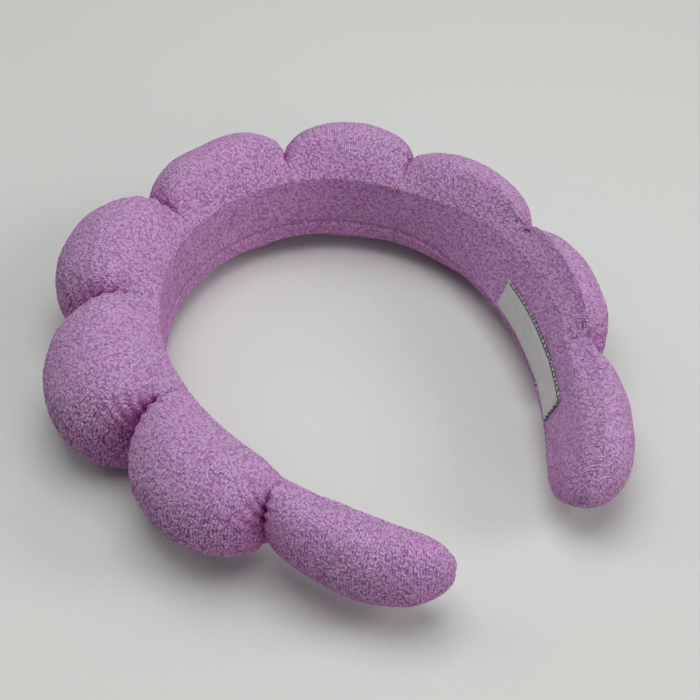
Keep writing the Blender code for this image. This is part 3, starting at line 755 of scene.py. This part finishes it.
# loops stand taller on the sides that face away from the overhead lamp, and the same factor raises the painted
# shade between loops there
stand_and_side_shade = 0.82 + 0.80 * smooth((past_fold - 14.0) / 26.0) * smooth((0.75 - NORM[..., 2]) / 0.7)
height = 0.52 * (1 - 0.50 * inner_w) * crush * stand_and_side_shade
P_out = P + NORM * (height * (pile - 0.35))[..., None]
P_out[..., 2] = np.maximum(P_out[..., 2], 0.12)
# painted shade: the pile value that sets the colour is lowered along the seam's dip, so the groove is painted
# darker
pile_and_seam_shade = pile * (1 - 0.5 * seam_dip)
print("relief done", round(time.time() - T0, 1), "s")

P_in = P - normals(soft_blur(P, 8)) * 1.7
NORM_OUT = normals(P_out)

cut_rows = [0] + mid_f + [len(s_f) - 1]


def signed_volume(v, f):
    a, b, c = v[f[:, 0]], v[f[:, 1]], v[f[:, 2]]
    vol = np.einsum("ij,ij->i", a, np.cross(b, c)).sum()
    d = f[:, 3] if f.shape[1] == 4 else None
    if d is not None:
        vol += np.einsum("ij,ij->i", a, np.cross(c, v[d])).sum()
    return vol


def sleeve_piece(i):
    """Sleeve from mid lobe to mid lobe across gather i: a shell with true thickness."""
    j0, j1 = cut_rows[i], cut_rows[i + 1]
    rows = np.arange(j0, j1 + 1)
    first_tip, last_tip = i == 0, i == 7
    if first_tip:
        rows = rows[2:]
    if last_tip:
        rows = rows[:-2]
    outer = P_out[rows]
    co, pl, tn = [outer.reshape(-1, 3)], [pile_and_seam_shade[rows].ravel()], [tone[rows].ravel()]
    cs, op, sd = [course[rows].ravel()], [OPEN[rows].ravel()], [stand_and_side_shade[rows].ravel()]
    quads = [grid_faces(len(rows), RING)]
    base = len(rows) * RING
    # lining: every fourth row and column
    q = 4
    pick = rows[::q] if rows[-1] in rows[::q] else np.append(rows[::q], rows[-1])
    if first_tip:
        pick = pick[pick > 12]
        pick = np.insert(pick, 0, 12) if pick[0] != 12 else pick
    if last_tip:
        pick = pick[pick < len(s_f) - 13]
        pick = np.append(pick, len(s_f) - 13)
    lining = P_in[pick][:, ::q]
    m = RING // q
    co.append(lining.reshape(-1, 3))
    pl.append(np.full(lining.shape[0] * m, 0.3))
    tn.append(np.full(lining.shape[0] * m, 0.5))
    cs.append(np.repeat(u_f[pick], m))
    op.append(np.full(lining.shape[0] * m, 0.6))
    sd.append(np.full(lining.shape[0] * m, 1.0))
    quads.append(grid_faces(len(pick), m, base)[:, ::-1])
    tris = []

    def rim(out0, in0, flip):
        for k in range(m):
            o = [out0 + (k * q + d) % RING for d in range(q + 1)]
            a, b = in0 + k, in0 + (k + 1) % m
            t = [(o[0], o[1], a), (o[1], o[2], a), (a, o[2], b), (o[2], o[3], b), (o[3], o[4], b)]
            tris.extend([x[::-1] for x in t] if flip else t)

    def fan(first, count, centre, flip):
        idx = sum(len(c) for c in co)
        co.append(centre[None])
        pl.append(np.array([0.5]))
        tn.append(np.array([0.5]))
        cs.append(np.array([u_f[rows[0] if first_tip else rows[-1]]]))
        op.append(np.array([0.8]))
        sd.append(np.array([1.0]))
        for k in range(count):
            t = (first + k, first + (k + 1) % count, idx)
            tris.append(t[::-1] if flip else t)

    last_out, last_in = (len(rows) - 1) * RING, base + (len(pick) - 1) * m
    if first_tip:
        fan(0, RING, outer[0].mean(0), True)
        fan(base, m, lining[0].mean(0), False)
    else:
        rim(0, base, True)
    if last_tip:
        fan(last_out, RING, outer[-1].mean(0), False)
        fan(last_in, m, lining[-1].mean(0), True)
    else:
        rim(last_out, last_in, False)
    co = np.concatenate(co) * MM
    quads = np.concatenate(quads)
    tris = np.array(tris)
    vol = signed_volume(co, quads) + signed_volume(co, tris)
    faces = [tuple(f) for f in quads.tolist()] + [tuple(t) for t in tris.tolist()]
    if vol < 0:
        faces = [f[::-1] for f in faces]
    ob = new_mesh("terry_sleeve_%d" % (i + 1), co.tolist(), faces)
    me = ob.data
    for name, data in (("pile", pl), ("tone", tn), ("course", cs), ("open", op), ("stand_and_side_shade", sd)):
        at = me.attributes.new(name, "FLOAT", "POINT")
        at.data.foreach_set("value", np.concatenate(data).astype(np.float32))
    at = me.attributes.new("rest", "FLOAT_VECTOR", "POINT")
    at.data.foreach_set("vector", (co / MM).ravel().astype(np.float32))
    # one continuous shading across the cuts between pieces
    nv = np.concatenate([NORM_OUT[rows].reshape(-1, 3), -NORM[pick][:, ::q].reshape(-1, 3)])
    extra = len(co) - len(nv)
    if extra:
        ends = [NORM_OUT[rows[0]].mean(0)] * extra if first_tip else [NORM_OUT[rows[-1]].mean(0)] * extra
        ends[1] = -ends[0]
        nv = np.concatenate([nv, ends])
    nv /= np.linalg.norm(nv, axis=1, keepdims=True)
    me.normals_split_custom_set_from_vertices(nv.tolist())
    me.materials.append(TERRY)
    blend_at(ob, i)
    if i == 0:
        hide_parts("terry_cover")
    return ob


for i in range(8):
    sleeve_piece(i)
print("sleeve pieces", round(time.time() - T0, 1), "s")


# ---- hoop and pad: hidden -----------------------------------------------------------
def strip_piece(name, i, s0, s1, n0, n1, extra, mat, round_end, seg=1.6):
    a, b = max(SPANS[i][0], s0), min(SPANS[i][1], s1)
    count = max(6, int((b - a) / seg))
    s = np.linspace(a, b, count)
    edge = np.minimum(s - s0, s1 - s)
    k = np.where(edge < round_end, np.sqrt(np.clip(1 - ((round_end - edge) / round_end) ** 2, 0.05, 1)), 1.0)
    half = (9.0 - 3.2 * smooth((np.abs(s) - 95) / 60) + extra) * k
    r = min(0.35, (n1 - n0) * 0.3)
    prof = []
    for cn, up, a0 in ((n1 - r, 1, 0), (n0 + r, 1, 90), (n0 + r, -1, 180), (n1 - r, -1, 270)):
        for d in (0, 30, 60, 90):
            ang = math.radians(a0 + d)
            prof.append((cn + r * math.cos(ang), up, r * math.sin(ang) - up * r))
        if a0 in (90, 270):      # the long flat sides bend with the inner face
            for f in (0.6, 0.2, -0.2, -0.6):
                prof.append((n0 if a0 == 90 else n1, (1 if a0 == 90 else -1) * f, 0.0))
    prof = np.array(prof)
    pts = place(s[:, None], prof[None, :, 0], prof[None, :, 1] * half[:, None] + prof[None, :, 2])
    m = len(prof)
    quads = grid_faces(count, m)
    faces = [tuple(f) for f in quads.tolist()]
    faces.append(tuple(range(m)))
    faces.append(tuple((count - 1) * m + x for x in reversed(range(m))))
    co = pts.reshape(-1, 3) * MM
    if signed_volume(co, quads) < 0:
        faces = [f[::-1] for f in faces]
    ob = new_mesh("%s_%d" % (name, i + 1), co.tolist(), faces)
    ob.data.set_sharp_from_angle(angle=math.radians(40))
    ob.data.materials.append(mat)
    blend_at(ob, i)
    return ob


for i in range(8):
    ob = strip_piece("hoop_spring", i, TIP_L + 13.5, TIP_R - 12.5, 4.6, 6.0, 0.0, PLASTIC, 7.0)
    if i == 0:
        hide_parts("hoop_core")
    ob = strip_piece("inner_padding", i, TIP_L + 15.5, TIP_R - 14.5, 2.2, 3.2, 0.5, FOAM, 5.0)
    if i == 0:
        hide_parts("inner_pad")


# ---- threads, label -----------------------------------------------------------------
def tube(name, pts, radius, mat, sides=8, twist=0.0):
    """Round thread through points in mm, closed at both ends."""
    pts = np.asarray(pts, float)
    tan = np.gradient(pts, axis=0)
    tan /= np.linalg.norm(tan, axis=1, keepdims=True)
    ref = np.array([0.13, 0.27, 0.95])
    x = np.cross(tan, ref)
    x /= np.linalg.norm(x, axis=1, keepdims=True)
    y = np.cross(tan, x)
    rows = len(pts)
    run = np.concatenate([[0], np.cumsum(np.linalg.norm(np.diff(pts, axis=0), axis=1))])
    a = np.linspace(0, 2 * np.pi, sides, endpoint=False)[None]
    ply = 1 + 0.13 * np.cos(2 * a - run[:, None] * twist)
    r = radius * ply
    ends = np.clip(np.minimum(run, run[-1] - run) / radius, 0.25, 1)[:, None]
    r = r * ends
    ring = pts[:, None] + x[:, None] * (np.cos(a) * r)[..., None] + y[:, None] * (np.sin(a) * r)[..., None]
    co = ring.reshape(-1, 3) * MM
    quads = grid_faces(rows, sides)
    faces = [tuple(f) for f in quads.tolist()]
    faces.append(tuple(range(sides)))
    faces.append(tuple((rows - 1) * sides + k for k in reversed(range(sides))))
    if signed_volume(co, quads) < 0:
        faces = [f[::-1] for f in faces]
    ob = new_mesh(name, co.tolist(), faces)
    ob.data.materials.append(mat)
    return ob


FLAT_P = soft_blur(P, 12)
FLAT_N = normals(soft_blur(P, 24))
K = RING // 6
NEAR = np.r_[RING - K:RING, 0:K + 1]


def inner_at(s, d):
    """Point and outward normal of the smoothed inner face, d mm up along it from its middle."""
    j = np.interp(s, s_even, np.arange(len(s_f)))
    j0 = int(j)
    j1, f = min(j0 + 1, len(s_f) - 1), j - int(j)
    i = (np.interp(d, arc_f[j0, NEAR], NEAR - np.where(NEAR >= RING - K, RING, 0)))
    i0, g = int(np.floor(i)), i - math.floor(i)
    a, b = i0 % RING, (i0 + 1) % RING

    def get(A):
        return ((A[j0, a] * (1 - g) + A[j0, b] * g) * (1 - f) + (A[j1, a] * (1 - g) + A[j1, b] * g) * f)
    n = get(FLAT_N)
    return get(FLAT_P), n / np.linalg.norm(n)


def seam_thread(i):
    a, b = max(SPANS[i][0], TIP_L + 20), min(SPANS[i][1], TIP_R - 20)
    count = int((b - a) / 0.5)
    pts = []
    for s in np.linspace(a, b, count):
        p, n = inner_at(s, float(seam_height(s)))
        ph = s * 2 * np.pi / 3.0
        p = p + n * (-0.10 + 0.30 * np.sin(ph)) + np.array([0, 0, 0.30 * np.sin(ph + 1.4)])
        pts.append(p)
    ob = tube("closing_seam_%d" % (i + 1), pts, 0.22, LILAC_THREAD, twist=4.0)
    blend_at(ob, i)
    if i == 0:
        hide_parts("closing_seam_thread")


for i in range(8):
    seam_thread(i)

LABEL_S = (101.4, 153.4)
LABEL_H = (-6.9, 2.7)


def label_point(s, d, lift):
    p, n = inner_at(s, d)
    return p + n * lift, n


def make_label():
    cols, rows = 140, 52
    ss, hh = np.linspace(*LABEL_S, cols), np.linspace(*LABEL_H, rows)
    top = np.empty((cols, rows, 3))
    bot = np.empty((cols, rows, 3))
    wave = vnoise(np.stack(np.meshgrid(ss, hh, [0.0], indexing="ij"), -1)[:, :, 0], 9.0, 61)
    for a, s in enumerate(ss):
        for b, h in enumerate(hh):
            # a slightly uneven lower edge, corners drawn in by the stitches
            e = min((s - LABEL_S[0]) * 2, LABEL_S[1] - s, h - LABEL_H[0], LABEL_H[1] - h)
            puff = 0.30 * min(1.0, e / 1.6)
            w = 0.16 * wave[a, b] * min(1.0, e / 1.5)
            top[a, b], n = label_point(s, h, 0.62 + puff + w)
            bot[a, b] = top[a, b] - n * 0.30
    n_top = cols * rows
    co = np.concatenate([top.reshape(-1, 3), bot.reshape(-1, 3)]) * MM
    faces = []
    idx = lambda a, b, o: o + a * rows + b
    for a in range(cols - 1):
        for b in range(rows - 1):
            faces.append((idx(a, b, 0), idx(a + 1, b, 0), idx(a + 1, b + 1, 0), idx(a, b + 1, 0)))
            faces.append((idx(a, b, n_top), idx(a, b + 1, n_top), idx(a + 1, b + 1, n_top), idx(a + 1, b, n_top)))
    for a in range(cols - 1):
        faces.append((idx(a, 0, 0), idx(a, 0, n_top), idx(a + 1, 0, n_top), idx(a + 1, 0, 0)))
        faces.append((idx(a, rows - 1, 0), idx(a + 1, rows - 1, 0), idx(a + 1, rows - 1, n_top), idx(a, rows - 1, n_top)))
    for b in range(rows - 1):
        faces.append((idx(0, b, 0), idx(0, b + 1, 0), idx(0, b + 1, n_top), idx(0, b, n_top)))
        faces.append((idx(cols - 1, b, 0), idx(cols - 1, b, n_top), idx(cols - 1, b + 1, n_top), idx(cols - 1, b + 1, 0)))
    q = np.array(faces)
    if signed_volume(co, q) < 0:
        q = q[:, ::-1]
    ob = new_mesh("satin_label", co.tolist(), [tuple(f) for f in q.tolist()])
    S2, H2 = np.meshgrid(ss, hh, indexing="ij")
    for name, A in (("warp", H2), ("weft", S2)):
        at = ob.data.attributes.new(name, "FLOAT", "POINT")
        at.data.foreach_set("value", np.concatenate([A.ravel(), A.ravel()]).astype(np.float32))
    ob.data.materials.append(SATIN)
    blend_at(ob, 7, 14.0)
    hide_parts("label")


make_label()


def whip_stitches():
    """Black thread along the label's upper edge, then down its tip-side end, with
    a short uneven bite into the terry every couple of millimetres."""
    pts = []
    rnd = lambda k, m: float(hash01(70 + m, np.array(k), np.array(3)))

    def run(pa, na, pb, nb, lift, steps=5):
        for f in np.linspace(0, 1, steps):
            n = na * (1 - f) + nb * f
            n /= np.linalg.norm(n)
            pts.append(pa * (1 - f) + pb * f + n * (lift * math.sin(math.pi * f)))
    s, k = LABEL_S[0] + 0.8, 0
    here = label_point(s, LABEL_H[1] - 0.12, 0.98)
    while s < LABEL_S[1] - 1.0:
        step = 0.9 + 1.2 * rnd(k, 4)
        there = label_point(min(s + step, LABEL_S[1] - 0.3), LABEL_H[1] - 0.12 - 0.12 * rnd(k, 0), 0.98)
        run(*here, *there, 0.03)
        tip = label_point(s + step + 0.5 * (rnd(k, 3) - 0.3), LABEL_H[1] + 0.35 + 1.1 * rnd(k, 1) ** 1.3, 0.55)
        run(*there, *tip, 0.10, 4)
        here = label_point(s + step + 0.25, LABEL_H[1] - 0.12, 0.98)
        run(*tip, *here, 0.14, 4)
        s += step + 0.25
        k += 1
    h = LABEL_H[1] - 0.5
    while h > LABEL_H[0] + 1.0:
        step = 0.9 + 1.1 * rnd(k, 4)
        there = label_point(LABEL_S[1] - 0.15 - 0.15 * rnd(k, 0), h - step, 0.40)
        run(*here, *there, 0.0)
        tip = label_point(LABEL_S[1] + 0.25 + 0.5 * rnd(k, 5), h - step - 0.3 * rnd(k, 3), 0.50)
        run(*there, *tip, 0.10, 4)
        here = label_point(LABEL_S[1] - 0.30, h - step - 0.45, 0.98)
        run(*tip, *here, 0.14, 4)
        h -= step + 0.25
        k += 1
    pts_ = np.array(pts)
    keep = np.concatenate([[True], np.linalg.norm(np.diff(pts_, axis=0), axis=1) > 0.02])
    ob = tube("label_whip_stitches", pts_[keep], 0.135, BLACK_THREAD, sides=6, twist=4.0)
    blend_at(ob, 7, 14.0)
    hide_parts("label_stitching")


whip_stitches()

# ---- the carried-over inner parts ------------------------------------------------------
for k in range(1, 10):
    ob = frame["nodes"]["foam_puff_%d" % k]
    for sl in ob.material_slots:
        sl.link = "OBJECT"
        sl.material = FOAM
for k in range(1, 9):
    ob = frame["nodes"]["gather_tie_%d" % k]
    for sl in ob.material_slots:
        sl.link = "OBJECT"
        sl.material = LILAC_THREAD

# ---- floor, light, camera ----------------------------------------------------------------
floor = new_mesh("floor", [(-3, -3, -0.0002), (3, -3, -0.0002), (3, 3, -0.0002), (-3, 3, -0.0002)], [(0, 1, 2, 3)], smooth=False)
fm, nt, bs = tree("pale_paper")
tex = node(nt, "ShaderNodeTexCoord")
no = node(nt, "ShaderNodeTexNoise")
no.inputs["Scale"].default_value = 700
no.inputs["Detail"].default_value = 4
nt.links.new(tex.outputs["Object"], no.inputs["Vector"])
cr = ramp(nt, [(0.3, (0.584, 0.594, 0.566)), (0.7, (0.604, 0.614, 0.586))])
nt.links.new(no.outputs["Fac"], cr.inputs["Fac"])
nt.links.new(cr.outputs["Color"], bs.inputs["Base Color"])
bs.inputs["Roughness"].default_value = 0.9
bs.inputs["Specular IOR Level"].default_value = 0.1
floor.data.materials.append(fm)

world = bpy.data.worlds.new("studio")
bpy.context.scene.world = world
world.use_nodes = True
bg = world.node_tree.nodes["Background"]
bg.inputs["Color"].default_value = (0.95, 0.97, 1.0, 1)
bg.inputs["Strength"].default_value = 0.215


def area(name, loc, size, power, aim=(0, 0, 0.02), color=(1, 1, 1)):
    lamp = bpy.data.lights.new(name, "AREA")
    lamp.shape = "RECTANGLE"
    lamp.size, lamp.size_y = size
    lamp.energy = power
    lamp.color = color
    ob = bpy.data.objects.new(name, lamp)
    ob.location = loc
    ob.rotation_euler = (Vector(aim) - Vector(loc)).to_track_quat("-Z", "Y").to_euler()
    bpy.context.scene.collection.objects.link(ob)
    return ob


area("overhead", (0.01, 0.0, 0.64), (0.46, 0.46), 2.75, aim=(0, 0.0, 0.0))
area("right_front", (1.45, -0.95, 1.10), (0.8, 0.8), 14.5, color=(0.99, 0.99, 1.0))
area("front", (0.3, -1.7, 0.75), (0.8, 0.8), 5.0, color=(1.0, 0.99, 0.99))
area("left_back", (-1.1, 1.3, 1.7), (0.9, 0.9), 4.5, color=(0.98, 0.99, 1.0))

# camera: 700 x 700, at the photo's angle
EL, AZ, ROLL, DIST = 0.84857, -0.54548, 0.0009, 555.1
TARGET = np.array([5.08 - OX, -57.67 + CROWN_Y - OY, MID_Z - FACE_H / 2])
back = np.array([math.sin(AZ) * math.cos(EL), -math.cos(AZ) * math.cos(EL), math.sin(EL)])
cam_data = bpy.data.cameras.new("view")
cam_data.sensor_width = 36.0
cam_data.lens = 1700 / 700 * 36.0
cam = bpy.data.objects.new("view", cam_data)
cam.location = Vector((TARGET + back * DIST) * MM)
cam.rotation_euler = Vector(-back).to_track_quat("-Z", "Y").to_euler()
cam.rotation_euler.rotate_axis("Z", ROLL)
bpy.context.scene.collection.objects.link(cam)
bpy.context.scene.camera = cam
bpy.context.scene.view_settings.view_transform = "Standard"

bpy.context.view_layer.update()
print("scene built in", round(time.time() - T0, 1), "s")
